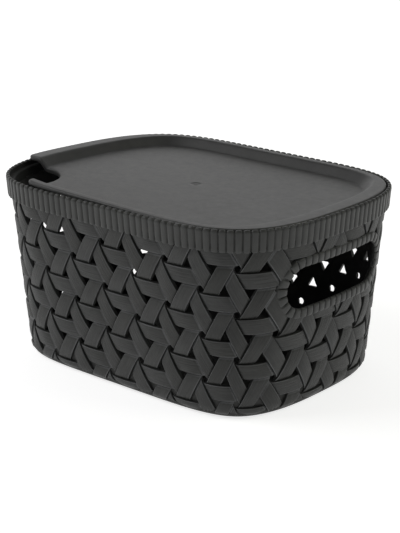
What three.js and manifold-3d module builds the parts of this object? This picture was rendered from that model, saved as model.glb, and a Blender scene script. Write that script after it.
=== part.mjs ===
// A lidded storage basket in moulded polypropylene that imitates flat wicker strips.
// Two mouldings: the basket (base, vented walls, ribbed rim and two hand holes) and a loose lid
// (a shallow tray with one corner cut away for the fingers), which drops onto a ledge in the rim.
// Millimetres, +Z up, +X along the length. The origin is on the ground, under the middle of the base.
import * as THREE from "three";
import { mergeVertices } from "three/addons/utils/BufferGeometryUtils.js";
import Module from "manifold-3d";

// Overall size, and the outline |x/a|^SIDE_POWER + |y/b|^END_POWER = 1 of the rim:
// nearly straight long sides, softly bowed ends and wide corners.
const LENGTH = 252;
const WIDTH = 190;
const HEIGHT = 130;
const SIDE_POWER = 5;
const END_POWER = 2.75;

// Walls. Every inset is measured inwards from the rim's outer outline.
const WALL_TOP = 114;
const WALL_TOP_INSET = 4.2;
const WALL_DRAFT = 10.3; // how much further in the wall stands at the ground than at WALL_TOP
const WALL_THICKNESS = 2.4;
const BASE_FILLET = 8.3;
const FLOOR_TOP = 3.4;
const FLOOR_FILLET = 6;
const FOOT_WIDTH = 9; // the flat ring that the basket stands on
const FOOT_HEIGHT = 1.2;

// Rim: a ribbed band round the outside, and a ledge inside that carries the lid.
const RIB_COUNT = 148;
const RIB_DEPTH = 1.1;
const RIB_TOP = 129.4;
const RIM_BOTTOM = 115.2;
const RIM_DRAFT = 1.1;
const RIM_WALL = 2.9;
const LEDGE_DEPTH = 3.8;
const LEDGE_INNER_INSET = 6.4;

// Imitation weave: strips in three directions leave a round vent at each node of a triangular
// lattice and a three-sided vent in each triangle of it.
const COLUMNS = 28;
const NODE_PITCH = 31; // between nodes of one column, straight up
const LOWEST_NODE = 10.3;
const SIDE_SHIFT = -0.15; // of the columns on the long sides, in columns
const END_SHIFT = 0.15; // of the columns on the ends
const ROUND_VENT = 5.6; // across the corners of its six sides
const THREE_SIDED_VENT = 7.5; // side
const LOWEST_VENT = 20;
const HIGHEST_VENT = 108;

// Hand holes, one in each end.
const HOLE_LENGTH = 96;
const HOLE_HEIGHT = 28;
const HOLE_CENTRE_Z = 85;
const HOLE_FRAME = 7; // width of the raised frame round the hole
const FRAME_PROUD = 1.2;

// Lid.
const LID_GAP = 0.7; // between the lid's edge and the rim's upstand
const LID_TOP = 129.9; // the top of the flange, where the lid lies flat
const SKIRT = 3.2; // height of the lid's edge
const LID_THICKNESS = 2.2;
const FLANGE_WIDTH = 5.2;
const FLANGE_WIDENING = 6; // how much wider the flange is at the middle of the ends
const TRAY_DEPTH = 6;
const TRAY_SLOPE = 7; // how far the sloping side of the tray reaches inwards
const CUT_X = -72.5; // the finger cut-out takes the corner beyond these two lines
const CUT_Y = -44;
const CUT_INNER_RADIUS = 25;
const CUT_TIP_RADIUS = 4;
const CURL = 4.9; // the cut-out corner of the lid has curled up by this much
const CURL_X = -118; // where the curl is greatest
const CURL_Y = -70;
const CURL_REACH = 200; // how far from there the lid lies flat

const SEGMENTS = COLUMNS * 3; // each flat of the wall is centred on one upright line of vents
const FULL_FLAT = 9;
const plastic = { color: 0x3a3b39, roughness: 0.55, metalness: 0 };

const wasm = await Module();
wasm.setup();

// The rim's outer outline as a polygon of `count` steps, anticlockwise from above. Its first
// corner is `start` steps past the middle of the front. The steps are equal, or go with `place`,
// from a share of the columns to a share of the way round. Moving each corner by a multiple of its
// `outward` keeps every side parallel to itself, so that lofted walls are made of true flats.
function outline(count, start = 0, place = (share) => share) {
  const fine = 7200;
  const points = [];
  const lengths = [];
  for (let i = 0; i <= fine; i++) {
    points.push(rimPoint(-Math.PI / 2 + (2 * Math.PI * i) / fine));
    lengths.push(i ? lengths[i - 1] + points[i].distanceTo(points[i - 1]) : 0);
  }
  const corners = [];
  let k = 1;
  for (let i = 0; i < count; i++) {
    const wanted = lengths[fine] * place((i + start) / count);
    while (lengths[k] < wanted) k++;
    const share = (wanted - lengths[k - 1]) / (lengths[k] - lengths[k - 1]);
    corners.push(points[k - 1].clone().lerp(points[k], share));
  }
  return corners.map((point, i) => {
    const before = sideNormal(corners.at(i - 1), point);
    const after = sideNormal(point, corners[(i + 1) % count]);
    const outward = before.clone().add(after).divideScalar(1 + before.dot(after));
    return { point, outward };
  });
}

// The wall's flats: the columns of vents spread a little where they turn the corners.
function wallOutline() {
  return outline(SEGMENTS, 0.5, (share) => {
    const onSide = 0.5 + 0.5 * Math.tanh(5 * (Math.cos(4 * Math.PI * share) + 0.58));
    return share + (END_SHIFT + (SIDE_SHIFT - END_SHIFT) * onSide) / COLUMNS;
  });
}

function rimPoint(turn) {
  const power = (value, exponent) => Math.sign(value) * Math.abs(value) ** exponent;
  return new THREE.Vector2(
    (LENGTH / 2) * power(Math.cos(turn), 2 / SIDE_POWER),
    (WIDTH / 2) * power(Math.sin(turn), 2 / END_POWER),
  );
}

function sideNormal(from, to) {
  return new THREE.Vector2(to.y - from.y, from.x - to.x).normalize();
}

// The wall's outer face at height z.
function wallInset(z) {
  return WALL_TOP_INSET + WALL_DRAFT * (1 - z / WALL_TOP);
}

// Closes rings of one outline into a solid. The stations are { inset, z, shrink }: an inset may be
// a function of the outline's corner, and shrink draws a ring in towards the middle. They run up
// the outside and down the inside, either from the middle of the underside to the middle of the
// upper side, or round a band back to the start.
function loft(stations, corners, hasMiddle) {
  const count = corners.length;
  const positions = [];
  const index = [];
  for (const { inset, z, shrink = 1 } of stations) {
    corners.forEach(({ point, outward }, i) => {
      const depth = typeof inset === "function" ? inset(outward, i) : inset;
      const place = point.clone().addScaledVector(outward, -depth).multiplyScalar(shrink);
      positions.push(place.x, place.y, z);
    });
  }
  const last = (stations.length - 1) * count;
  const under = last + count;
  positions.push(0, 0, stations[0].z, 0, 0, stations.at(-1).z);
  for (let i = 0; i < count; i++) {
    const j = (i + 1) % count;
    for (let ring = 0; ring < last; ring += count) {
      index.push(ring + i, ring + j, ring + count + j);
      index.push(ring + i, ring + count + j, ring + count + i);
    }
    if (hasMiddle) index.push(under, j, i, under + 1, last + i, last + j);
  }
  const geometry = new THREE.BufferGeometry();
  geometry.setAttribute("position", new THREE.Float32BufferAttribute(positions, 3));
  geometry.setIndex(index);
  return geometry;
}

function solid(geometry) {
  const bare = geometry.clone();
  bare.deleteAttribute("normal");
  bare.deleteAttribute("uv");
  const merged = mergeVertices(bare, 1e-4);
  return new wasm.Manifold(
    new wasm.Mesh({
      numProp: 3,
      vertProperties: merged.attributes.position.array,
      triVerts: new Uint32Array(merged.index.array),
    }),
  );
}

function mesh(name, shape) {
  const made = shape.getMesh();
  const geometry = new THREE.BufferGeometry();
  geometry.setAttribute("position", new THREE.BufferAttribute(made.vertProperties, 3));
  geometry.setIndex(new THREE.BufferAttribute(made.triVerts, 1));
  geometry.computeVertexNormals();
  const result = new THREE.Mesh(geometry, new THREE.MeshStandardMaterial(plastic));
  result.name = name;
  return result;
}

// The stations strictly between the two ends of a quarter-round, which leaves `from` level and
// comes to `to` upright.
function quarterRound(from, to, steps) {
  const stations = [];
  for (let k = 1; k < steps; k++) {
    const turn = (Math.PI / 2) * (k / steps);
    stations.push({
      inset: to.inset + (from.inset - to.inset) * (1 - Math.sin(turn)),
      z: from.z + (to.z - from.z) * (1 - Math.cos(turn)),
    });
  }
  return stations;
}

function tub() {
  const foot = { inset: wallInset(BASE_FILLET) + BASE_FILLET, z: 0 };
  const wallFoot = { inset: wallInset(BASE_FILLET), z: BASE_FILLET };
  const filletTop = FLOOR_TOP + FLOOR_FILLET;
  const insideFoot = { inset: wallInset(filletTop) + WALL_THICKNESS, z: filletTop };
  const floorEdge = { inset: insideFoot.inset + FLOOR_FILLET, z: FLOOR_TOP };
  const stations = [
    { inset: foot.inset + FOOT_WIDTH + FOOT_HEIGHT, z: FOOT_HEIGHT },
    { inset: foot.inset + FOOT_WIDTH, z: 0 },
    foot,
    ...quarterRound(foot, wallFoot, 3),
    wallFoot,
    { inset: WALL_TOP_INSET, z: WALL_TOP },
    { inset: WALL_TOP_INSET, z: HEIGHT - LEDGE_DEPTH - 2 },
    { inset: RIB_DEPTH + 1, z: HEIGHT - LEDGE_DEPTH - 1 },
    { inset: RIB_DEPTH + 0.3, z: HEIGHT },
    { inset: RIM_WALL, z: HEIGHT },
    { inset: RIM_WALL, z: HEIGHT - LEDGE_DEPTH },
    { inset: LEDGE_INNER_INSET, z: HEIGHT - LEDGE_DEPTH },
    { inset: WALL_TOP_INSET + WALL_THICKNESS, z: WALL_TOP },
    insideFoot,
    ...quarterRound(floorEdge, insideFoot, 2),
    floorEdge,
  ];
  return solid(loft(stations, wallOutline(), true));
}

// The ribbed band round the rim: upright crests and valleys alternate round its outer face.
function ribs() {
  const zigzag = (base) => (outward, i) => base + (i % 2 ? RIB_DEPTH : 0);
  const buriedUnderLedge = WALL_TOP_INSET + WALL_THICKNESS / 3;
  const band = [
    { inset: RIB_DEPTH + 1.2, z: RIB_TOP },
    { inset: RIB_DEPTH + 1.2, z: HEIGHT - LEDGE_DEPTH },
    { inset: buriedUnderLedge, z: HEIGHT - LEDGE_DEPTH - 0.5 },
    { inset: buriedUnderLedge, z: RIM_BOTTOM },
    { inset: zigzag(RIM_DRAFT), z: RIM_BOTTOM },
    { inset: zigzag(0), z: RIB_TOP },
    { inset: RIB_DEPTH + 1.2, z: RIB_TOP },
  ];
  return solid(loft(band, outline(RIB_COUNT * 2), false));
}

// A prism square to the wall through the middle of the flat between two corners of the outline,
// at height z. Its shape is `FULL_FLAT` wide at most, and narrows with its flat in the corners.
function prismThroughWall(from, to, z, shape) {
  const inset = wallInset(z) + WALL_THICKNESS / 2;
  const left = from.point.clone().addScaledVector(from.outward, -inset);
  const right = to.point.clone().addScaledVector(to.outward, -inset);
  const middle = left.clone().lerp(right, 0.5);
  const normal = sideNormal(left, right);
  const outward = new THREE.Vector3(normal.x, normal.y, 0);
  const along = new THREE.Vector3(-normal.y, normal.x, 0);
  const depth = 4 * WALL_THICKNESS;
  const geometry = new THREE.ExtrudeGeometry(shape, { depth, bevelEnabled: false });
  geometry.translate(0, 0, -depth / 2);
  geometry.scale(Math.min(1, left.distanceTo(right) / FULL_FLAT), 1, 1);
  geometry.applyMatrix4(new THREE.Matrix4().makeBasis(along, new THREE.Vector3(0, 0, 1), outward));
  geometry.translate(middle.x, middle.y, z);
  return solid(geometry);
}

function regularShape(sides, radius, turn) {
  const shape = new THREE.Shape();
  for (let i = 0; i < sides; i++) {
    const angle = turn + (2 * Math.PI * i) / sides;
    shape[i ? "lineTo" : "moveTo"](radius * Math.cos(angle), radius * Math.sin(angle));
  }
  return shape;
}

function stadium(length, height) {
  const radius = height / 2;
  const reach = length / 2 - radius;
  const shape = new THREE.Shape();
  shape.moveTo(-reach, -radius);
  shape.absarc(reach, 0, radius, -Math.PI / 2, Math.PI / 2);
  shape.absarc(-reach, 0, radius, Math.PI / 2, (3 * Math.PI) / 2);
  return shape;
}

// True where a vent would break into a hand hole's frame.
function nearHandHole({ point, outward }, z) {
  const reach = HOLE_LENGTH / 2 - HOLE_HEIGHT / 2;
  const beyond = Math.max(0, Math.abs(point.y) - reach);
  const clear = HOLE_HEIGHT / 2 + HOLE_FRAME + ROUND_VENT;
  return Math.abs(outward.x) > 0.5 && Math.hypot(beyond, z - HOLE_CENTRE_Z) < clear;
}

function vents() {
  const radius = THREE_SIDED_VENT / Math.sqrt(3);
  const round = regularShape(6, ROUND_VENT / 2, 0);
  const pointingUp = regularShape(3, radius, Math.PI / 2);
  const pointingDown = regularShape(3, radius, -Math.PI / 2);
  const corners = wallOutline();
  const cutters = [];
  const cut = (flat, z, shape) => {
    const [from, to] = [corners.at(flat - 1), corners[flat]];
    if (!nearHandHole(from, z) && !nearHandHole(to, z)) cutters.push(prismThroughWall(from, to, z, shape));
  };
  for (let column = 0; column < COLUMNS; column++) {
    for (let row = 0; LOWEST_NODE + (row * NODE_PITCH) / 2 < HIGHEST_VENT; row++) {
      const z = LOWEST_NODE + (row * NODE_PITCH) / 2;
      if (z < LOWEST_VENT) continue;
      if ((row + column) % 2) {
        cut(column * 3 + 1, z, pointingDown);
      } else {
        cut(column * 3, z, round);
        cut(column * 3 + 2, z, pointingUp);
      }
    }
  }
  return wasm.Manifold.union(cutters);
}

// A prism along X through both end walls, centred on the hand holes.
function throughBothEnds(shape) {
  const geometry = new THREE.ExtrudeGeometry(shape, { depth: LENGTH, bevelEnabled: false, curveSegments: 8 });
  geometry.translate(0, 0, -LENGTH / 2);
  geometry.rotateX(Math.PI / 2);
  geometry.rotateZ(Math.PI / 2);
  geometry.translate(0, 0, HOLE_CENTRE_Z);
  return solid(geometry);
}

// The raised frames: the part of a thicker wall that lies round each hand hole.
function handHoleFrames() {
  const low = HOLE_CENTRE_Z - HOLE_HEIGHT;
  const buried = WALL_THICKNESS / 2;
  const thickWall = [
    { inset: wallInset(WALL_TOP) + buried, z: WALL_TOP },
    { inset: wallInset(low) + buried, z: low },
    { inset: wallInset(low) - FRAME_PROUD, z: low },
    { inset: wallInset(WALL_TOP) - FRAME_PROUD, z: WALL_TOP },
    { inset: wallInset(WALL_TOP) + buried, z: WALL_TOP },
  ];
  const around = stadium(HOLE_LENGTH + 2 * HOLE_FRAME, HOLE_HEIGHT + 2 * HOLE_FRAME);
  return solid(loft(thickWall, wallOutline(), false)).intersect(throughBothEnds(around));
}

function basket() {
  const handHoles = throughBothEnds(stadium(HOLE_LENGTH, HOLE_HEIGHT));
  return mesh("basket", tub().add(ribs()).add(handHoleFrames()).subtract(vents()).subtract(handHoles));
}

// Everything beyond the finger cut-out's outline: a square corner, rounded where its two edges
// meet and where they reach the lid's own edge.
function cutOut() {
  const edgeX = -(LENGTH / 2 - RIM_WALL - LID_GAP);
  const edgeY = -(WIDTH / 2 - RIM_WALL - LID_GAP);
  const r = CUT_INNER_RADIUS;
  const t = CUT_TIP_RADIUS;
  const shape = new THREE.Shape();
  shape.moveTo(-LENGTH, CUT_Y + 2 * t);
  shape.lineTo(edgeX - 0.5, CUT_Y + 2 * t);
  shape.quadraticCurveTo(edgeX + 1, CUT_Y, edgeX + t + 2, CUT_Y);
  shape.lineTo(CUT_X - r, CUT_Y);
  shape.absarc(CUT_X - r, CUT_Y - r, r, Math.PI / 2, 0, true);
  shape.lineTo(CUT_X, edgeY + t + 2);
  shape.quadraticCurveTo(CUT_X, edgeY + 1, CUT_X + 2 * t, edgeY - 0.5);
  shape.lineTo(CUT_X + 2 * t, -WIDTH);
  shape.lineTo(-LENGTH, -WIDTH);
  const geometry = new THREE.ExtrudeGeometry(shape, { depth: 40, bevelEnabled: false, curveSegments: 6 });
  geometry.translate(0, 0, HEIGHT - 20);
  return solid(geometry);
}

// The lid's height above its flat shape, which falls off smoothly away from the cut-out.
function curl(x, y) {
  const distance = Math.hypot(x - CURL_X, y - CURL_Y);
  return CURL * Math.max(0, 1 - distance / CURL_REACH) ** 1.6;
}

function lid() {
  const edge = RIM_WALL + LID_GAP;
  const flangeEnd = edge + FLANGE_WIDTH;
  const trayEdge = flangeEnd + TRAY_SLOPE;
  const widened = (inset) => (outward) => inset + FLANGE_WIDENING * outward.x ** 2;
  const underside = LID_TOP - LID_THICKNESS;
  const floorRings = (z) => [0.75, 0.4].map((shrink) => ({ inset: widened(trayEdge), z, shrink }));
  const stations = [
    ...floorRings(underside - TRAY_DEPTH).reverse(),
    { inset: widened(trayEdge), z: underside - TRAY_DEPTH },
    { inset: widened(flangeEnd - 1), z: underside },
    { inset: edge + LID_THICKNESS, z: underside },
    { inset: edge + LID_THICKNESS, z: LID_TOP - SKIRT },
    { inset: edge, z: LID_TOP - SKIRT },
    { inset: edge, z: LID_TOP - 0.5 },
    { inset: edge + 0.5, z: LID_TOP },
    { inset: widened(flangeEnd), z: LID_TOP },
    { inset: widened(trayEdge), z: LID_TOP - TRAY_DEPTH },
    ...floorRings(LID_TOP - TRAY_DEPTH),
  ];
  const tray = loft(stations, outline(SEGMENTS, 0.5), true);
  const position = tray.attributes.position;
  for (let i = 0; i < position.count; i++) {
    position.setZ(i, position.getZ(i) + curl(position.getX(i), position.getY(i)));
  }
  return mesh("lid", solid(tray).subtract(cutOut()));
}

const assembly = new THREE.Group();
assembly.add(basket(), lid());

export default assembly;
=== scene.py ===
"""Looks of a moulded plastic basket that imitates flat wicker strips, with its loose tray lid."""

import math

import bpy
import numpy as np
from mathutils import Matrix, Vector
from mathutils.geometry import delaunay_2d_cdt
from mathutils.kdtree import KDTree


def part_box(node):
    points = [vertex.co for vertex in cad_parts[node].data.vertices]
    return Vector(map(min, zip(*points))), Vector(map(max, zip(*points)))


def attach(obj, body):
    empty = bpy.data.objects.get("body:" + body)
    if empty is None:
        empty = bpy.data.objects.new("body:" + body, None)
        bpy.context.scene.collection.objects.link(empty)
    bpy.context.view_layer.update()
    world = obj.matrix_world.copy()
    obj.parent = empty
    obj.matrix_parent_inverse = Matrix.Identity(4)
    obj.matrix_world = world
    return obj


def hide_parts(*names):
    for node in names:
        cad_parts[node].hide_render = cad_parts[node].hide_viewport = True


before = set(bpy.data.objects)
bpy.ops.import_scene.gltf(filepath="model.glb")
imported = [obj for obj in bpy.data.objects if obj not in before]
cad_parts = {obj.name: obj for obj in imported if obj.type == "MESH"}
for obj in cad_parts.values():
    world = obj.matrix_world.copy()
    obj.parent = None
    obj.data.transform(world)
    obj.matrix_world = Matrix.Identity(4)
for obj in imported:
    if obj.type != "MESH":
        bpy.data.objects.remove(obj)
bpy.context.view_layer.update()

# ---------------------------------------------------------------- sizes, in millimetres
MM = 0.001
basket_lo, basket_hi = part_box("basket")
LENGTH = (basket_hi.x - basket_lo.x) / MM
WIDTH = (basket_hi.y - basket_lo.y) / MM
HEIGHT = (basket_hi.z - basket_lo.z) / MM
SIDE_POWER, END_POWER = 5, 2.75  # of the rim's outline |x/a|^5 + |y/b|^2.75 = 1

WALL_TOP, WALL_TOP_INSET, WALL_DRAFT = 114.0, 4.2, 10.3
BASE_RADIUS = 8.3
RIM_BOTTOM, RIM_DRAFT, RIM_WALL = 115.2, 1.1, 2.7
RIB_COUNT, RIB_DEPTH = 148, 0.95
LEDGE_DEPTH, LEDGE_INNER_INSET = 3.8, 6.4

COLUMNS = 28
PITCH = 31.0  # between nodes of one column, straight up
COLUMN = PITCH * math.sqrt(3) / 2  # between columns
LOWEST_NODE = 10.3
SIDE_SHIFT, END_SHIFT = -0.150, 0.150  # of the columns on the long sides and on the ends, in columns
LATTICE_LEAN = math.sqrt(3) / 2  # sine of the 60 degrees between the strips' directions
STRIP = 0.33 * PITCH  # width of a strip
REACH = 0.378 * PITCH  # half the length of a strip that shows between two crossings
CREST, SHELL_OUT, SHELL_IN = 0.6, -2.2, -2.9  # heights over the CAD wall's face
BEVEL, BEVEL_START = 0.5, 0.90  # how deep a strip's rounded edge drops, and where across the strip it begins
STRIP_LOW, STRIP_HIGH = -10, 126  # the heights between which a strip's middle may lie
WEAVE_LOW, WEAVE_TOP = -4.0, 122.0  # where strips are cut off, behind the band round the foot and the rim
FOOT_CLEARANCE = 0.05  # of the foot ring and the strips over the ground, out of the floor's plane

VENT_RADIUS, VENT_SIDE = 2.4, 8.4  # of a round vent, and of a three-sided one before its corners are rounded
VENTS_LOW, VENTS_HIGH = 20, 108  # no vent is centred outside these heights

HOLE_LENGTH, HOLE_HEIGHT, HOLE_Z, HOLE_FRAME = 96.0, 28.0, 85.0, 7.0
HOLE_SHIFT = 1.5  # of each hole towards its right, seen from outside
STITCHES, STITCH_DEPTH = 42, 1.6  # in the frame round each hand hole
HOLE_STRAIGHT = HOLE_LENGTH / 2 - HOLE_HEIGHT / 2  # half the length of its straight stretch
SHELL_HOLE, STRIP_HOLE, VENT_HOLE = 3.0, 3.5, 6.5  # how far shell, strips and vents keep from a hand hole
END_WALL = 90  # beyond this distance from the middle, a place belongs to an end wall
END_COLUMNS = np.linspace(COLUMNS / 4 - 3.4, COLUMNS / 4 + 3.4, 700)  # samples over the +X end wall
SMOOTH_RING = np.linspace(0, COLUMNS, 560, endpoint=False)  # samples round a plain ring

rng = np.random.default_rng(7)


# ---------------------------------------------------------------- the outline and the wall
class Outline:
    """The rim's outer outline, sampled finely: points and outward normals by columns round it."""

    def __init__(self, fine=28800):
        turn = -math.pi / 2 + np.linspace(0, 2 * math.pi, fine + 1)
        c, s = np.cos(turn), np.sin(turn)
        a, b = LENGTH / 2, WIDTH / 2
        x = a * np.sign(c) * np.abs(c) ** (2 / SIDE_POWER)
        y = b * np.sign(s) * np.abs(s) ** (2 / END_POWER)
        along = np.concatenate([[0], np.cumsum(np.hypot(np.diff(x), np.diff(y)))])
        self.length = along[-1]
        self.u = along / along[-1] * COLUMNS
        nx = np.sign(x) * SIDE_POWER * np.abs(x / a) ** (SIDE_POWER - 1) / a
        ny = np.sign(y) * END_POWER * np.abs(y / b) ** (END_POWER - 1) / b
        size = np.hypot(nx, ny)
        self.table = np.stack([x, y, nx / size, ny / size])

    def at(self, u):
        """Points and normals at column positions u, as x, y, nx, ny."""
        u = np.mod(u, COLUMNS)
        return [np.interp(u, self.u, row) for row in self.table]


outline = Outline()
LEAN = math.atan(WALL_DRAFT / WALL_TOP)
FILLET_TOP = BASE_RADIUS * (1 - math.sin(LEAN))


def wall_inset(z):
    return WALL_TOP_INSET + WALL_DRAFT * (1 - z / WALL_TOP)


def profile(v):
    """The wall's outer face at v, a height that runs on along the fillet at the base: inset, z, lean."""
    v = np.asarray(v, float)
    lean = LEAN + np.clip((FILLET_TOP - v) / BASE_RADIUS, 0, math.pi / 2 - LEAN)
    centre = wall_inset(FILLET_TOP) + BASE_RADIUS * math.cos(LEAN)
    straight = v >= FILLET_TOP
    inset = np.where(straight, wall_inset(v), centre - BASE_RADIUS * np.cos(lean))
    z = np.where(straight, v, BASE_RADIUS * (1 - np.sin(lean)))
    return inset, z, lean


def round_rim(u):
    """Where column u stands in even steps round the rim: the columns spread a little at the corners."""
    on_side = 0.5 + 0.5 * np.tanh(5 * (np.cos(4 * math.pi * u / COLUMNS) + 0.58))
    return u + END_SHIFT + (SIDE_SHIFT - END_SHIFT) * on_side


def on_wall(u, v, h):
    """Points at columns u, heights v and h outwards from the wall's face, in millimetres."""
    x, y, nx, ny = outline.at(round_rim(u))
    inset, z, lean = profile(v)
    out = np.cos(lean) * h - inset
    return np.stack([x + nx * out, y + ny * out, z - np.sin(lean) * h], -1)


# ---------------------------------------------------------------- mesh helpers
def make(name, points, faces, body, material, uv=None, values=None, sharp_from=40):
    """A mesh object from points in millimetres that rides on a body; sharp_from is in degrees."""
    mesh = bpy.data.meshes.new(name)
    mesh.from_pydata((np.asarray(points) * MM).tolist(), [], [list(map(int, f)) for f in faces])
    mesh.validate()
    if uv is not None:
        loops = np.empty(len(mesh.loops), np.int32)
        mesh.loops.foreach_get("vertex_index", loops)
        layer = mesh.uv_layers.new(name="strip")
        layer.data.foreach_set("uv", np.asarray(uv, np.float32)[loops].ravel())
    for label, value in (values or {}).items():
        layer = mesh.attributes.new(label, "FLOAT", "POINT")
        layer.data.foreach_set("value", np.asarray(value, np.float32))
    mesh.update()
    mesh.shade_smooth()
    mesh.set_sharp_from_angle(angle=math.radians(sharp_from))
    obj = bpy.data.objects.new(name, mesh)
    bpy.context.scene.collection.objects.link(obj)
    obj.data.materials.append(material)
    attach(obj, body)
    return obj


def ring_faces(rings, count):
    """Quads between rings of count points each, with the last ring joined to the first."""
    faces = []
    i = np.arange(count)
    j = (i + 1) % count
    for r in range(rings):
        a, b = r * count, ((r + 1) % rings) * count
        faces.append(np.stack([a + i, a + j, b + j, b + i], -1))
    return np.concatenate(faces)


def grid_faces(rows, columns):
    """Quads of a grid stored row by row."""
    a = (np.arange(rows - 1)[:, None] * columns + np.arange(columns - 1)).ravel()
    return np.stack([a, a + 1, a + columns + 1, a + columns], -1)


def inside_stadium(x, y, z, grow):
    """True inside the hand hole's outline grown by so much."""
    beyond = np.maximum(0, np.abs(y - HOLE_SHIFT * np.sign(x)) - HOLE_STRAIGHT)
    return np.hypot(beyond, z - HOLE_Z) < HOLE_HEIGHT / 2 + grow


def inside_polygon(points, polygon):
    """True for the flat points that lie inside a closed polygon."""
    inside = np.zeros(len(points), bool)
    for (x1, y1), (x2, y2) in zip(polygon, np.roll(polygon, -1, 0)):
        if y1 != y2:
            crosses = (y1 > points[:, 1]) != (y2 > points[:, 1])
            inside ^= crosses & (points[:, 0] < (x2 - x1) * (points[:, 1] - y1) / (y2 - y1) + x1)
    return inside


def triangulate(points, edges):
    """A Delaunay triangulation of flat points that keeps the given edges."""
    verts, _, faces, *_ = delaunay_2d_cdt([Vector(p) for p in points], edges, [], 1, 1e-5)
    return np.array([tuple(v) for v in verts]), np.array([f for f in faces if len(f) == 3])


def loop_edges(start, count):
    """The edges of a closed loop of count points, numbered from start."""
    return [(start + i, start + (i + 1) % count) for i in range(count)]


def two_skins(faces, count):
    """Faces of a closed body: a skin, the same skin turned over count points later, and walls between."""
    directed = {(f[i], f[(i + 1) % len(f)]) for f in faces for i in range(len(f))}
    border = sorted(e for e in directed if (e[1], e[0]) not in directed)
    return (list(faces) + [[i + count for i in reversed(f)] for f in faces]
            + [[b, a, a + count, b + count] for a, b in border])


def nearest_finder(points):
    """A search tree over flat points."""
    tree = KDTree(len(points))
    for i, p in enumerate(points):
        tree.insert((p[0], p[1], 0), i)
    tree.balance()
    return tree


# ---------------------------------------------------------------- materials
def shader(name):
    """A new node material: itself, its nodes, its links and its Principled shader."""
    material = bpy.data.materials.new(name)
    material.use_nodes = True
    nodes, links = material.node_tree.nodes, material.node_tree.links
    return material, nodes, links, nodes["Principled BSDF"]


def noise(nodes, links, vector, scale, detail, rough=0.55):
    node = nodes.new("ShaderNodeTexNoise")
    node.inputs["Scale"].default_value = scale
    node.inputs["Detail"].default_value = detail
    node.inputs["Roughness"].default_value = rough
    links.new(vector, node.inputs["Vector"])
    return node.outputs["Fac"]


def ramp(nodes, links, value, stops):
    node = nodes.new("ShaderNodeValToRGB")
    while len(node.color_ramp.elements) < len(stops):
        node.color_ramp.elements.new(0.5)
    for element, (place, colour) in zip(node.color_ramp.elements, stops):
        element.position = place
        element.color = (*colour, 1)
    links.new(value, node.inputs["Fac"])
    return node.outputs["Color"]


def spread(nodes, links, value, low, high):
    node = nodes.new("ShaderNodeMapRange")
    node.inputs["To Min"].default_value = low
    node.inputs["To Max"].default_value = high
    links.new(value, node.inputs["Value"])
    return node.outputs["Result"]


def bump(nodes, links, height, strength, distance, after=None):
    node = nodes.new("ShaderNodeBump")
    node.inputs["Strength"].default_value = strength
    node.inputs["Distance"].default_value = distance
    links.new(height, node.inputs["Height"])
    if after is not None:
        links.new(after, node.inputs["Normal"])
    return node.outputs["Normal"]


def attribute(nodes, label):
    node = nodes.new("ShaderNodeAttribute")
    node.attribute_name = label
    return node.outputs["Fac"]


def multiply(nodes, links, a, b):
    node = nodes.new("ShaderNodeMath")
    node.operation = "MULTIPLY"
    links.new(a, node.inputs[0])
    links.new(b, node.inputs[1])
    return node.outputs["Value"]


def mixed(nodes, links, share, a, b, blend="MIX"):
    """Colours a and b mixed by a share; a colour is a socket or three numbers."""
    node = nodes.new("ShaderNodeMix")
    node.data_type = "RGBA"
    node.blend_type = blend
    if isinstance(share, float):
        node.inputs["Factor"].default_value = share
    else:
        links.new(share, node.inputs["Factor"])
    for value, socket in ((a, node.inputs[6]), (b, node.inputs[7])):
        if isinstance(value, tuple):
            socket.default_value = (*value, 1)
        else:
            links.new(value, socket)
    return node.outputs[2]


WORN_EDGE_AND_HIGHLIGHT = (0.125, 0.128, 0.131)  # the paler colour of rubbed edges, which also paints a highlight on the strips' upper ends


def plastic(name, dark, light, roughness, specular, strips=False):
    """Anthracite polypropylene: mottled colour, a finely eroded skin and, on strips, a lengthwise grain."""
    material, nodes, links, out = shader(name)
    place = nodes.new("ShaderNodeTexCoord").outputs["Object"]
    mottle = noise(nodes, links, place, scale=90, detail=4)
    colour = ramp(nodes, links, mottle, [(0.3, dark), (0.7, light)])
    eroded = noise(nodes, links, place, scale=2600, detail=2)
    gloss = spread(nodes, links, noise(nodes, links, place, scale=240, detail=3), *roughness)
    links.new(gloss, out.inputs["Roughness"])
    normal = bump(nodes, links, eroded, strength=0.25, distance=0.00012)
    if strips:
        uv = nodes.new("ShaderNodeUVMap")
        uv.uv_map = "strip"
        stretch = nodes.new("ShaderNodeMapping")
        stretch.inputs["Scale"].default_value = (0.05, 1.1, 1)
        links.new(uv.outputs["UV"], stretch.inputs["Vector"])
        streaks = noise(nodes, links, stretch.outputs["Vector"], scale=1.0, detail=4, rough=0.6)
        normal = bump(nodes, links, streaks, strength=0.7, distance=0.0007, after=normal)
        grain = ramp(nodes, links, streaks, [(0.3, (0.78, 0.78, 0.78)), (0.7, (1.25, 1.25, 1.25))])
        colour = mixed(nodes, links, 1.0, colour, grain, "MULTIPLY")
        tones = [(0, (0.82, 0.82, 0.80)), (1, (1.15, 1.15, 1.18))]
        tone = ramp(nodes, links, attribute(nodes, "tone"), tones)
        colour = mixed(nodes, links, 1.0, colour, tone, "MULTIPLY")
        # pale edges on strips: rubbed wear in patches, and a painted highlight where light falls on their
        # upper ends
        patches = noise(nodes, links, place, scale=60, detail=3)
        patchy = spread(nodes, links, patches, low=-0.3, high=1.4)
        worn_and_highlit = multiply(nodes, links, attribute(nodes, "wear_and_highlight"), patchy)
        colour = mixed(nodes, links, worn_and_highlit, colour, WORN_EDGE_AND_HIGHLIGHT)
    links.new(colour, out.inputs["Base Color"])
    links.new(normal, out.inputs["Normal"])
    out.inputs["Specular IOR Level"].default_value = specular
    return material


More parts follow.
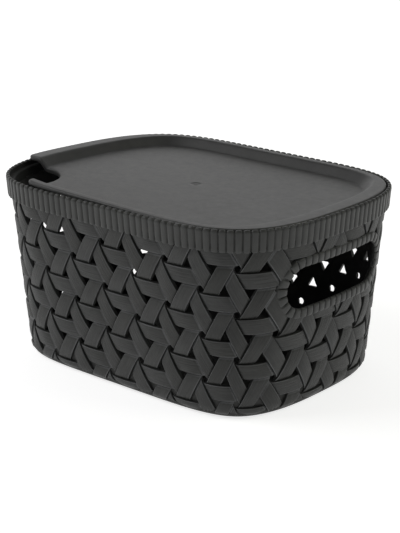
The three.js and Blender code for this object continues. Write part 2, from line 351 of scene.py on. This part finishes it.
strip_plastic = plastic("strip_plastic", dark=(0.0216, 0.0223, 0.0213), light=(0.0320, 0.0328, 0.0312),
                        roughness=(0.40, 0.54), specular=0.28, strips=True)
shell_plastic = plastic("shell_plastic", dark=(0.018, 0.0185, 0.0175), light=(0.024, 0.0245, 0.023),
                        roughness=(0.5, 0.62), specular=0.35)
# a darker, duller copy of the plastic for the ledge inside the rim: painted shade, where the lid and the rim
# shadow it
shaded_ledge_plastic = plastic("shaded_ledge_plastic", dark=(0.012, 0.0124, 0.0118), light=(0.016, 0.0164, 0.0156),
                        roughness=(0.60, 0.72), specular=0.2)
rim_plastic = plastic("rim_plastic", dark=(0.031, 0.0320, 0.0308), light=(0.043, 0.0440, 0.0422),
                      roughness=(0.38, 0.50), specular=0.3)
lid_plastic = plastic("lid_plastic", dark=(0.0250, 0.0252, 0.0248), light=(0.0380, 0.0380, 0.0375),
                      roughness=(0.42, 0.54), specular=0.5)


# ---------------------------------------------------------------- woven strips
def strip_shapes():
    """Every strip between two crossings: its kind, its middle, its direction and that of its ends."""
    # each kind: its name, its middle's place from a node in columns and in pitches, the two directions
    kinds = [
        ("level", 0.5, -0.25, (1, 0), (-0.5, LATTICE_LEAN)),
        ("rising", 0.5, -0.75, (0.5, LATTICE_LEAN), (-1, 0)),
        ("falling", 0.0, -0.50, (-0.5, LATTICE_LEAN), (-0.5, -LATTICE_LEAN)),
    ]
    for column in range(COLUMNS):
        start = LOWEST_NODE + (PITCH / 2 if column % 2 else 0)
        for row in range(-1, 6):
            for kind, du, dz, along, across in kinds:
                middle = np.array([(column + du) * COLUMN, start + row * PITCH + dz * PITCH])
                if STRIP_LOW < middle[1] < STRIP_HIGH:
                    yield kind, middle, np.array(along), np.array(across)


def strip_grid(middle, along, across):
    """One strip as a grid of points: arched along its length, nearly flat across, its ends tucked under."""
    ends = np.array([0.25, 0.5, 0.7, 0.82, 0.88, 0.94, 1.0, 1.10, 1.10])
    sides = np.array([0.45, BEVEL_START, 0.935, 0.965, 0.985, 1.0, 1.0])
    t = np.concatenate([-ends[::-1], [0], ends])
    b = np.concatenate([-sides[::-1], [0], sides])
    T, B = np.meshgrid(t, b, indexing="ij")
    arch = CREST - 1.15 * T**2 - 0.8 * np.clip((np.abs(T) - 0.80) / 0.20, 0, 1.5) ** 1.6
    bevel = np.clip((np.abs(B) - BEVEL_START) / (1 - BEVEL_START), 0, 1)
    h = arch - 0.15 * B**2 - BEVEL * (1 - np.sqrt(1 - 0.98 * bevel**2))
    p = middle + T[..., None] * REACH * along + B[..., None] * (STRIP / 2 / LATTICE_LEAN) * across
    u, v = p[..., 0] / COLUMN, np.minimum(p[..., 1], WEAVE_TOP)
    h -= 1.8 * np.clip((3.0 - v) / 3.0, 0, 1)  # the lowest strips sink behind the band round the foot
    h[[0, -1], :] = SHELL_OUT - 0.1
    h[:, [0, -1]] = SHELL_OUT - 0.1
    offset = rng.uniform(0, 400, 2)
    uv = np.stack([T * REACH + offset[0], B * STRIP / 2 + offset[1]], -1)
    top = on_wall(u, v, h).reshape(-1, 3)
    top[:, 2] = np.maximum(top[:, 2], FOOT_CLEARANCE)
    under = on_wall(u, v, SHELL_OUT - 0.4).reshape(-1, 3)
    # pale edges: rubbed wear along both sides, and a painted highlight over the end at T > 0.86, the upper
    # end of a slanted strip
    wear_and_highlight = np.where((np.abs(B) > 0.93) | (T > 0.86), 1.0, 0.0)
    wear_and_highlight[:, [0, 1, -2, -1]] = 0
    wear_and_highlight[[0, 1, -2, -1], :] = 0
    return top, under, uv.reshape(-1, 2), len(t), len(b), v.ravel(), wear_and_highlight.ravel()


def woven_strips():
    """The strips of the imitation weave, one object for each of the three ways they run."""
    groups = {kind: {"points": [], "uvs": [], "faces": [], "tones": [], "wears_and_highlights": [], "total": 0}
              for kind in ("level", "rising", "falling")}
    for kind, middle, along, across in strip_shapes():
        xyz, under, uv, rows, columns, v, wear_and_highlight = strip_grid(middle, along, across)
        quads = grid_faces(rows, columns)[:, ::-1]
        centre = xyz[quads].mean(1)
        kept = ~((np.abs(centre[:, 0]) > END_WALL) & inside_stadium(*centre.T, STRIP_HOLE))
        kept &= (v[quads].max(1) > WEAVE_LOW) & (v[quads].min(1) < WEAVE_TOP - 0.1)
        if not kept.any():
            continue
        group = groups[kind]
        solid = two_skins([q.tolist() for q in quads[kept]], len(xyz))
        used = sorted({i for f in solid for i in f})
        place = {old: new + group["total"] for new, old in enumerate(used)}
        group["faces"].extend([[place[i] for i in f] for f in solid])
        group["points"].append(np.concatenate([xyz, under])[used])
        group["uvs"].append(np.concatenate([uv, uv])[used])
        group["tones"].append(np.full(len(used), rng.uniform()))
        group["wears_and_highlights"].append(np.concatenate([wear_and_highlight, wear_and_highlight * 0])[used])
        group["total"] += len(used)
    made = []
    for kind, group in groups.items():
        points, uv = np.concatenate(group["points"]), np.concatenate(group["uvs"])
        values = {"tone": np.concatenate(group["tones"]), "wear_and_highlight": np.concatenate(group["wears_and_highlights"])}
        made.append(make(f"{kind}_strips", points, group["faces"], "basket",
                         strip_plastic, uv, values, sharp_from=50))
    return made


# ---------------------------------------------------------------- the vented shell behind the strips
def end_points(sign, y, z, h):
    """Points on an end wall (sign +1 or -1) at cross positions y and heights z, h out from the face."""
    px, py, nx, ny = outline.at(END_COLUMNS)
    insets = wall_inset(z) - h * math.cos(LEAN)
    x = np.array([np.interp(yi, py - ny * inset, px - nx * inset) for yi, inset in zip(y, insets)])
    return np.stack([sign * x, sign * y, z - h * math.sin(LEAN)], -1)


def stadium(grow, shares):
    """The hand hole's outline grown by so much, at shares of the way round, anticlockwise from its right."""
    radius, flat = HOLE_HEIGHT / 2, HOLE_STRAIGHT
    middle = radius + HOLE_FRAME / 2
    straight, bend = 2 * flat, math.pi * middle
    s = shares * 2 * (straight + bend)
    y, z = np.empty(len(s)), np.empty(len(s))
    r = radius + grow
    for i, d in enumerate(s):
        if d < bend / 2:
            turn, cy = d / middle, flat
        elif d < bend / 2 + straight:
            y[i], z[i] = flat - (d - bend / 2), HOLE_Z + r
            continue
        elif d < bend * 1.5 + straight:
            turn, cy = math.pi / 2 + (d - bend / 2 - straight) / middle, -flat
        elif d < bend * 1.5 + 2 * straight:
            y[i], z[i] = -flat + (d - bend * 1.5 - straight), HOLE_Z - r
            continue
        else:
            turn, cy = 1.5 * math.pi + (d - bend * 1.5 - 2 * straight) / middle, flat
        y[i], z[i] = cy + r * math.cos(turn), HOLE_Z + r * math.sin(turn)
    return y + HOLE_SHIFT, z


def column_at(y, z):
    """The column position, near the middle of the +X end, of a point of the end wall."""
    _, py, _, ny = outline.at(round_rim(END_COLUMNS))
    return np.array([np.interp(yi, py - ny * wall_inset(zi), END_COLUMNS) for yi, zi in zip(y, z)])


def vent_outlines():
    """Every vent as a closed outline in (column, height)."""
    def polygon(u, z, radii, turns):
        return np.stack([u + radii * np.cos(turns) / COLUMN, z + radii * np.sin(turns)], -1)

    round_turns = np.linspace(0, 2 * math.pi, 16, endpoint=False)
    apothem, corner = VENT_SIDE / math.sqrt(12), VENT_SIDE / math.sqrt(3)
    turns3, radii3 = [], []
    for k in range(3):
        # turns from the corner, with shares of its distance where the outline is rounded
        for d, r in ((-0.62, 0.80), (-0.16, 0.86), (0.0, 0.90), (0.16, 0.86), (0.62, 0.80)):
            turns3.append(2 * math.pi * k / 3 + d)
            radii3.append(corner * r if abs(d) < 0.5 else apothem / math.cos(math.pi / 3 - abs(d)))
    turns3, radii3 = np.array(turns3), np.array(radii3)
    for column in range(COLUMNS):
        for row in range(8):
            z = LOWEST_NODE + row * PITCH / 2
            if not VENTS_LOW < z < VENTS_HIGH:
                continue
            if (row + column) % 2:
                found = [polygon(column + 1 / 3, z, radii3, turns3 - math.pi / 2)]
            else:
                found = [polygon(column, z, np.full(len(round_turns), VENT_RADIUS), round_turns),
                         polygon(column + 2 / 3, z, radii3, turns3 + math.pi / 2)]
            for outline2d in found:
                x, y = on_wall(outline2d[:, 0], outline2d[:, 1], 0)[:, :2].T
                if (np.abs(x) > END_WALL).all() and inside_stadium(x, y, outline2d[:, 1], VENT_HOLE).any():
                    continue
                yield outline2d


def crowds(points, loop):
    """True for points that lie in a vent or so near its outline that thin triangles would follow."""
    away = (points[:, None] - loop[None]) * [COLUMN, 1]
    return (np.hypot(away[..., 0], away[..., 1]) < 1.2).any(1) | inside_polygon(points, loop)


def vented_shell():
    """A thin wall with the vents and the hand holes cut through it, triangulated flat and bent round."""
    low, high = -4.5, 119.0
    seam = -1 / 6  # it runs straight up between two upright lines of vents
    holes = []
    for loop in vent_outlines():
        holes.append(loop - [np.floor((loop[:, 0].mean() - seam) / COLUMNS) * COLUMNS, 0])
    y, z = stadium(SHELL_HOLE, np.arange(120) / 120)
    for shift in (0, COLUMNS / 2):
        holes.append(np.stack([column_at(y, z) + shift, z], -1))

    levels = np.concatenate([np.linspace(low, 8, 6), np.arange(12, 118, 4.0), [high]])
    across = np.linspace(seam, seam + COLUMNS, COLUMNS * 6 + 1)
    grid = np.stack(np.meshgrid(across, levels, indexing="ij"), -1).reshape(-1, 2)
    place = np.arange(len(grid)).reshape(len(across), len(levels))
    dropped = np.zeros(len(grid), bool)
    for hole in holes:
        margin = np.array([1.5 / COLUMN, 1.5])
        near = np.nonzero(((grid > hole.min(0) - margin) & (grid < hole.max(0) + margin)).all(1))[0]
        dropped[near[crowds(grid[near], hole)]] = True
    borders = [place[0], place[-1], place[:, 0], place[:, -1]]
    dropped[np.concatenate(borders)] = False
    points = [grid[~dropped]]
    index = np.cumsum(~dropped) - 1
    edges = [e for line in borders for e in zip(index[line[:-1]].tolist(), index[line[1:]].tolist())]
    for hole in holes:
        edges.extend(loop_edges(sum(map(len, points)), len(hole)))
        points.append(hole)
    flat, tri = triangulate(np.concatenate(points) * [COLUMN, 1], edges)
    flat = flat / [COLUMN, 1]
    centre = flat[tri].mean(1)
    kept = np.ones(len(tri), bool)
    for hole in holes:
        near = np.nonzero(((centre > hole.min(0)) & (centre < hole.max(0))).all(1))[0]
        kept[near[inside_polygon(centre[near], hole)]] = False

    # the points at the seam's far end give way to those at its start
    weld = np.arange(len(flat))
    left = np.nonzero(np.abs(flat[:, 0] - across[0]) < 1e-4)[0]
    for i in np.nonzero(np.abs(flat[:, 0] - across[-1]) < 1e-4)[0]:
        weld[i] = left[np.argmin(np.abs(flat[left, 1] - flat[i, 1]))]
    faces = two_skins(weld[tri[kept]].tolist(), len(flat))
    outer = on_wall(flat[:, 0], flat[:, 1], SHELL_OUT)
    inner = on_wall(flat[:, 0], flat[:, 1], SHELL_IN)
    return make("vented_shell", np.concatenate([outer, inner]), faces, "basket",
                shell_plastic, sharp_from=35)


# ---------------------------------------------------------------- rim and ledge
def rim():
    """The ribbed band, with its rounded top and plain inner side, swept round the outline."""
    x = np.array([-1, -0.94, -0.87, -0.78, -0.66, -0.5, -0.25, 0, 0.25, 0.5, 0.66, 0.78, 0.87, 0.94])
    u = ((np.arange(RIB_COUNT)[:, None] + (x + 1) / 2) / RIB_COUNT * COLUMNS).ravel()
    # 0 on a rib's crest and 1 in a groove
    bar = 0.32 * x**2 + 0.68 * np.clip((np.abs(x) - 0.55) / 0.40, 0, 1) ** 1.7
    groove = np.tile(bar, RIB_COUNT)
    top, ledge, foot = HEIGHT, HEIGHT - LEDGE_DEPTH, RIM_BOTTOM
    # each station: inset, z, and how far the grooves run in and down there
    stations = [
        (WALL_TOP_INSET + 0.5, 116.5, 0, 0),
        (WALL_TOP_INSET + 0.4, foot + 0.9, 0, 0),
        (RIM_DRAFT + 1.3, foot + 0.35, 1.0, -1.2),
        (RIM_DRAFT + 0.6, foot + 0.05, 1.7, -1.2),
        (RIM_DRAFT + 0.25, foot + 0.05, 2.0, -1.2),
        (RIM_DRAFT, foot + 0.4, 2.0, -0.9),
        (RIM_DRAFT - 0.1, foot + 1.3, 1.4, -0.3),
        (RIM_DRAFT * 0.66, 120.2, 1, 0),
        (RIM_DRAFT * 0.33, 125, 1, 0),
        (0.08, top - 2.2, 1, 0.1),
        (0.14, top - 1.4, 1, 0.3),
        (0.34, top - 0.75, 1, 0.8),
        (0.72, top - 0.3, 1, 1.1),
        (1.2, top - 0.06, 0.7, 1.3),
        (1.7, top, 0.3, 1.4),
        (RIM_WALL - 0.6, top - 0.05, 0, 1.3),
        (RIM_WALL - 0.2, top - 0.3, 0, 1.0),
        (RIM_WALL, top - 0.8, 0, 0.5),
        (RIM_WALL + 0.02, ledge - 2.0, 0, 0),
        (RIM_WALL + 1.6, 116.8, 0, 0),
    ]
    px, py, nx, ny = outline.at(u)
    rings = []
    for inset, z, cut_in, cut_down in stations:
        depth = inset + groove * RIB_DEPTH * cut_in
        rings.append(np.stack([px - nx * depth, py - ny * depth, z - groove * cut_down], -1))
    faces = ring_faces(len(stations), len(u))
    return make("ribbed_rim", np.concatenate(rings), faces, "basket",
                rim_plastic, sharp_from=38)


def lid_ledge():
    """The ledge the lid lies on and the upright face above it, swept round inside the ribbed band, in a
    darker plastic that paints the shade falling on them.
    """
    ledge, inner = HEIGHT - LEDGE_DEPTH, wall_inset(118) + 2.4
    # each station: inset, z
    stations = [
        (RIM_WALL - 0.4, HEIGHT - 1.2), (RIM_WALL + 0.05, HEIGHT - 1.1), (RIM_WALL + 0.08, ledge + 0.4),
        (RIM_WALL + 0.4, ledge), (LEDGE_INNER_INSET - 0.6, ledge), (LEDGE_INNER_INSET, ledge - 0.6),
        (inner, 121), (inner, 116.5), (RIM_WALL + 1.0, 117),
    ]
    px, py, nx, ny = outline.at(SMOOTH_RING)
    rings = [np.stack([px - nx * inset, py - ny * inset, np.full(len(px), z)], -1) for inset, z in stations]
    faces = ring_faces(len(stations), len(px))
    return make("lid_ledge", np.concatenate(rings), faces, "basket", shaded_ledge_plastic)


# ---------------------------------------------------------------- hand hole frames
def hand_hole_frame(sign, name):
    """A frame of moulded stitches round a hand hole, from the inside of the wall to a proud outer face."""
    # along each stitch: how far through it a point stands, and the share of the groove's depth there
    phase = np.array([0, 0.2, 0.33, 0.39, 0.43, 0.47, 0.53, 0.57, 0.61, 0.67, 0.8])
    groove = np.tile([0, 0.02, 0.1, 0.25, 0.6, 1, 1, 0.6, 0.25, 0.1, 0.02], STITCHES)
    shares = ((np.arange(STITCHES)[:, None] + phase) / STITCHES).ravel()
    # each station: how far outside the hole, the height over the wall's face, and the share of the groove
    stations = [
        (3.4, SHELL_IN - 0.1, 0), (2.3, SHELL_IN - 0.15, 0), (1.9, SHELL_IN + 0.1, 0),
        (0, -0.7, 0), (0.05, -0.1, 0.5), (0.35, 0.6, 0.8), (1.0, 1.05, 1), (2.0, 1.25, 1), (4.0, 1.3, 1),
        (5.4, 1.2, 1), (6.3, 0.9, 0.9), (HOLE_FRAME - 0.15, 0.3, 0.6), (HOLE_FRAME, -0.5, 0.2),
        (HOLE_FRAME, SHELL_OUT - 0.2, 0),
    ]
    rings = []
    for grow, h, share in stations:
        y, z = stadium(grow, shares)
        rings.append(end_points(sign, y, z, h - groove * share * STITCH_DEPTH))
    faces = ring_faces(len(stations), len(shares))[:, ::-1]
    return make(name, np.concatenate(rings), faces, "basket", rim_plastic, sharp_from=45)


# ---------------------------------------------------------------- base
def base():
    """The plain band round the foot, the fillet under it, the foot ring and the floor."""
    ring_outer, ring_inner, recess_z = 23.5, 31.6, 1.2  # the foot ring's insets, and the face inside it
    floor_z, floor_inset = 3.4, 26  # the basket's floor
    floor_fillet, steps, inner_face = 6, 6, 2.85  # the round corner up to the wall's inner face
    # each station of the band and the fillet: place up the wall, height over its face
    rings = []
    for v, h in ((14, SHELL_IN - 0.15), (5.0, -1.6), (3.6, -0.7), (2.9, -0.1), (2.3, 0.25), (1.5, 0.38),
                 (0.5, 0.38), (-1, 0.25), (-3, 0.05), (-4.0, 0), (-4.7, 0)):
        rings.append(on_wall(SMOOTH_RING, np.full(len(SMOOTH_RING), float(v)), h))
    px, py, nx, ny = outline.at(SMOOTH_RING)

    def level(inset, z, shrink=1.0):
        x, y = (px - nx * inset) * shrink, (py - ny * inset) * shrink
        rings.append(np.stack([x, y, np.full(len(px), z)], -1))

    level(ring_outer, FOOT_CLEARANCE)
    level(ring_inner - 1.0, FOOT_CLEARANCE)
    level(ring_inner - 0.5, 0.4)
    level(ring_inner, recess_z)
    for shrink in (0.7, 0.4, 0.1, 0.005):
        level(ring_inner, recess_z, shrink)
    for shrink in (0.005, 0.1, 0.4, 0.7):
        level(floor_inset, floor_z, shrink)
    inside = wall_inset(floor_z + floor_fillet) + inner_face
    for k in range(steps + 1):
        turn = math.pi / 2 * k / steps
        level(inside + floor_fillet * (1 - math.sin(turn)), floor_z + floor_fillet * (1 - math.cos(turn)))
    faces = ring_faces(len(rings), len(px))[:, ::-1]
    return make("base", np.concatenate(rings), faces, "basket", shell_plastic)


# ---------------------------------------------------------------- lid
CUT_X, CUT_Y, CUT_INNER_RADIUS, CUT_TIP_RADIUS = -72.5, -44.0, 25.0, 4.0
LID_TOP, SKIRT, LID_THICKNESS, TRAY_DEPTH = 129.9, 3.2, 2.2, 6.0
LID_EDGE, FLANGE_WIDTH, FLANGE_WIDENING, TRAY_SLOPE = 3.6, 5.2, 6.0, 7.0
SKIRT_WIDTH = 2.55  # from the lid's edge to the inner side of its skirt
SOFTENING = 0.9  # how much the soft folds at the top and bottom of the slope add to it on each side
SLOPE = TRAY_SLOPE + 2 * SOFTENING
CURL_HEIGHT, CURL_X, CURL_Y, CURL_REACH = 4.9, -118, -70, 200  # the curl is highest at that corner
NEAR_EDGE = (0, 0.08, 0.28, 0.6, 1.0)  # how far inside the lid's edge the loops run that round it off


def curl(x, y):
    """How far the lid has curled up at a place, most at its cut-out corner."""
    away = np.hypot(x - CURL_X, y - CURL_Y)
    return CURL_HEIGHT * np.maximum(0, 1 - away / CURL_REACH) ** 1.6


def slope_start(nx):
    """How deep inside the rim's outline the tray's slope starts, where the outline's normal has this x."""
    return LID_EDGE + FLANGE_WIDTH + FLANGE_WIDENING * nx**2 - SOFTENING


def rounded_corner(before, at, after):
    """A rounded corner from one point to another, drawn towards the point between them."""
    s = np.linspace(0, 1, 13)[:, None]
    return (1 - s) ** 2 * np.array(before) + 2 * s * (1 - s) * np.array(at) + s**2 * np.array(after)


def circle(radius, turns):
    """Flat points round the origin."""
    return np.stack([radius * np.cos(turns), radius * np.sin(turns)], -1)


def lid_outline():
    """The lid's edge with the finger cut-out, anticlockwise, about one point a millimetre."""
    fine = 5600
    x, y, nx, ny = outline.at(np.linspace(0, COLUMNS, fine + 1))
    edge = np.stack([x - nx * LID_EDGE, y - ny * LID_EDGE], -1)[:-1]
    before = np.nonzero((edge[:, 0] < 0) & (edge[:, 1] > CUT_Y))[0][-1]
    after = np.nonzero((edge[:, 0] < CUT_X) & (edge[:, 1] < CUT_Y))[0][-1] + 1
    kept = np.concatenate([edge[after:], edge[:before]])
    r, tip = CUT_INNER_RADIUS, CUT_TIP_RADIUS
    inner = np.array([CUT_X - r, CUT_Y - r]) + circle(r, np.linspace(math.pi / 2, 0, 41))
    trim = int(tip / outline.length * fine)
    first, last = kept[0], kept[-1]
    path = np.concatenate([
        kept[trim:-trim],
        rounded_corner(kept[-trim], (last[0], CUT_Y), (last[0] + tip, CUT_Y)),
        inner,
        rounded_corner((CUT_X, first[1] + tip), (CUT_X, first[1]), kept[trim]),
    ])
    path = np.concatenate([path, path[:1]])
    along = np.concatenate([[0], np.cumsum(np.hypot(*np.diff(path, axis=0).T))])
    even = np.linspace(0, along[-1], int(along[-1]), endpoint=False)
    return np.stack([np.interp(even, along, path[:, k]) for k in (0, 1)], -1)


def lid_guides():
    """Plan points that the lid's triangles follow: on the flange and slope, the tray and the mark."""
    px, py, nx, ny = outline.at(np.linspace(0, COLUMNS, 520, endpoint=False))
    start, skirt_end = slope_start(nx), LID_EDGE + SKIRT_WIDTH
    depths = [np.full(len(px), LID_EDGE + d) for d in (1.7, 2.15, SKIRT_WIDTH)]
    depths.append(skirt_end + (start - skirt_end) * 0.5)
    shares = (0, 0.06, 0.12, 0.18, 0.24, 0.3, 0.42, 0.55, 0.68, 0.78, 0.84, 0.88, 0.92, 0.96, 1)
    depths += [start + SLOPE * share for share in shares]
    rings = [np.stack([px - nx * d, py - ny * d], -1) for d in depths]
    rings += [rings[-1] * shrink for shrink in (0.96, 0.9)]

    x, y = np.meshgrid(np.arange(-118, 118, 4.0), np.arange(-88, 88, 4.0))
    x[1::2] += 2
    floor = np.stack([x.ravel(), y.ravel()], -1)
    floor = floor[inside_polygon(floor, rings[-1] * 0.97) & (np.hypot(*floor.T) > 10)]

    turns = np.linspace(0, 2 * math.pi, 40, endpoint=False)
    mark = [circle(r, turns) for r in (7.5, 5.5, 4.4, 3.7, 3.2, 2.7, 2.2, 1.6)]
    mark += [circle(r, turns[::4]) for r in (1.1, 0.6)]
    return np.concatenate([*rings, floor, *mark])


def lid_plan():
    """The lid seen from above: flat points, triangles and how far each point lies from the lid's edge."""
    edge_loop = lid_outline()
    ahead = np.roll(edge_loop, -1, 0) - np.roll(edge_loop, 1, 0)
    ahead /= np.hypot(*ahead.T)[:, None]
    inward = np.stack([-ahead[:, 1], ahead[:, 0]], -1)
    loops = [edge_loop + inward * d for d in NEAR_EDGE]
    edges = [e for k in range(len(loops)) for e in loop_edges(k * len(edge_loop), len(edge_loop))]
    inside = lid_guides()
    inside = inside[inside_polygon(inside, edge_loop + inward * 1.3)]
    finder = nearest_finder(edge_loop)
    inside = inside[np.array([finder.find((*p, 0))[2] for p in inside]) > 1.45]
    flat, tri = triangulate(np.concatenate([*loops, inside]), edges)
    tri = tri[inside_polygon(flat[tri].mean(1), edge_loop)]
    return flat, tri, np.array([finder.find((*p, 0))[2] for p in flat])


def tray_fall(depth, start):
    """How far the tray's slope has fallen at a depth inside the outline, with a soft fold at each end."""
    t = np.clip((depth - start) / SLOPE, 0, 1)
    fold_out, fold_in = 0.30, 0.16
    bent = np.where(t < fold_out, t**2 / (2 * fold_out), t - fold_out / 2)
    bent = np.where(t > 1 - fold_in, 1 - (fold_out + fold_in) / 2 - (1 - t) ** 2 / (2 * fold_in), bent)
    return -TRAY_DEPTH * bent / (1 - (fold_out + fold_in) / 2)


def edge_rounding(edge, radius):
    """How far the lid's face drops near its edge."""
    return radius - np.sqrt(radius**2 - np.clip(radius - edge, 0, radius) ** 2)


def lid():
    """The lid: a plan triangulated once, raised to its upper face and to its underside."""
    flat, tri, edge = lid_plan()
    samples = np.stack(outline.at(np.linspace(0, COLUMNS, 3600, endpoint=False)), -1)
    finder = nearest_finder(samples)
    nearest = samples[[finder.find((*p, 0))[1] for p in flat]]
    depth = ((nearest[:, :2] - flat) * nearest[:, 2:]).sum(1)  # inside the rim's outline
    start = slope_start(nearest[:, 2])

    # the mark of the gate: a shallow dish with a small rise in its middle
    away = np.hypot(*flat.T)
    gate = -0.34 * np.clip((3.9 - away) / 0.8, 0, 1) + 0.22 * np.clip((1.9 - away) / 0.6, 0, 1)
    skirt = (SKIRT - LID_THICKNESS) * np.clip((LID_EDGE + SKIRT_WIDTH - depth) / 0.4, 0, 1)
    bead = 1.3 * np.clip((3.0 - edge) / 1.0, 0, 1) * (depth > LID_EDGE + 3)  # along the cut-out
    curled = LID_TOP + curl(*flat.T)
    upper = curled + tray_fall(depth, start) - edge_rounding(edge, 1.25) + gate
    under = curled + tray_fall(depth + 0.9, start) - LID_THICKNESS
    under += edge_rounding(edge, 0.6) - np.maximum(skirt, bead)
    skins = np.concatenate([np.column_stack([flat, upper]), np.column_stack([flat, under])])
    return make("tray_lid", skins, two_skins(tri.tolist(), len(flat)), "lid",
                lid_plastic, sharp_from=50)


# ---------------------------------------------------------------- build
strips = woven_strips()
shell = vented_shell()
band = rim()
ledge = lid_ledge()
frames = [hand_hole_frame(1, "hand_hole_frame_front"), hand_hole_frame(-1, "hand_hole_frame_back")]
foot = base()
for piece in (*strips, shell, band, ledge, foot, *frames):
    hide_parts("basket")
tray = lid()
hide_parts("lid")


# ---------------------------------------------------------------- stage, light and camera, in metres
FLOOR_REACH, FLOOR_GREY, FLOOR_GLOW, WORLD_GLOW = 6, 0.6, 0.74, 0.18
WHITE, WARM = (1, 1, 1), (1, 1.01, 0.86)
SENSOR = 36  # the sensor's longer side in millimetres, which is the picture's height


def stage_floor():
    """A plain white floor, lit a little from within so that it stays even."""
    mesh = bpy.data.meshes.new("floor")
    r = FLOOR_REACH
    mesh.from_pydata([(-r, -r, 0), (r, -r, 0), (r, r, 0), (-r, r, 0)], [], [(0, 1, 2, 3)])
    obj = bpy.data.objects.new("floor", mesh)
    bpy.context.scene.collection.objects.link(obj)
    material, _, _, out = shader("floor_white")
    out.inputs["Base Color"].default_value = (FLOOR_GREY, FLOOR_GREY, FLOOR_GREY, 1)
    out.inputs["Roughness"].default_value = 1.0
    out.inputs["Emission Color"].default_value = (*WHITE, 1)
    out.inputs["Emission Strength"].default_value = FLOOR_GLOW
    obj.data.materials.append(material)


def soft_box(name, place, target, size, radiance, colour):
    """A rectangular area light of even radiance, which the camera doesn't see."""
    data = bpy.data.lights.new(name, "AREA")
    data.shape, data.size, data.size_y = "RECTANGLE", *size
    data.energy = radiance * math.pi * size[0] * size[1]
    data.color = colour
    obj = bpy.data.objects.new(name, data)
    obj.location = place
    obj.rotation_euler = (Vector(target) - Vector(place)).to_track_quat("-Z", "Y").to_euler()
    obj.visible_camera = False
    bpy.context.scene.collection.objects.link(obj)


def camera(azimuth, elevation, distance, lens, shift):
    """The photograph's camera: degrees round and up, metres from the basket's middle, lens in millimetres."""
    a, e = math.radians(azimuth), math.radians(elevation)
    back = Vector((math.sin(a) * math.cos(e), -math.cos(a) * math.cos(e), math.sin(e)))
    middle = Vector((0, 0, HEIGHT * MM / 2))
    data = bpy.data.cameras.new("camera")
    data.sensor_width = SENSOR
    data.lens = lens
    data.shift_x, data.shift_y = shift
    data.clip_start = 0.01
    obj = bpy.data.objects.new("camera", data)
    obj.location = middle + back * distance
    obj.rotation_euler = back.to_track_quat("Z", "Y").to_euler()
    bpy.context.scene.collection.objects.link(obj)
    bpy.context.scene.camera = obj


stage_floor()
world = bpy.data.worlds.new("studio")
world.use_nodes = True
background = world.node_tree.nodes["Background"]
background.inputs["Color"].default_value = (*WHITE, 1)
background.inputs["Strength"].default_value = WORLD_GLOW
bpy.context.scene.world = world
bpy.context.scene.view_settings.view_transform = "Standard"
soft_box("back_light", place=(-1.3, 1.5, 0.75), target=(0, 0, 0.13), size=(2.6, 1.1), radiance=0.95,
         colour=WHITE)
soft_box("left_light", place=(-0.95, -0.9, 1.25), target=(0, 0, 0.06), size=(1.0, 1.0), radiance=3.6,
         colour=WHITE)
soft_box("right_light", place=(1.15, 0.65, 1.2), target=(0, 0, 0.06), size=(1.0, 1.0), radiance=1.85,
         colour=WARM)
soft_box("far_left_light", place=(-2.0, 0.1, 0.4), target=(0, 0, 0.06), size=(1.2, 0.8), radiance=1.2,
         colour=WHITE)
camera(azimuth=41.007, elevation=18.239, distance=1.0549, lens=102.5817636,
       shift=(0.0072983112, 0.00090056285))
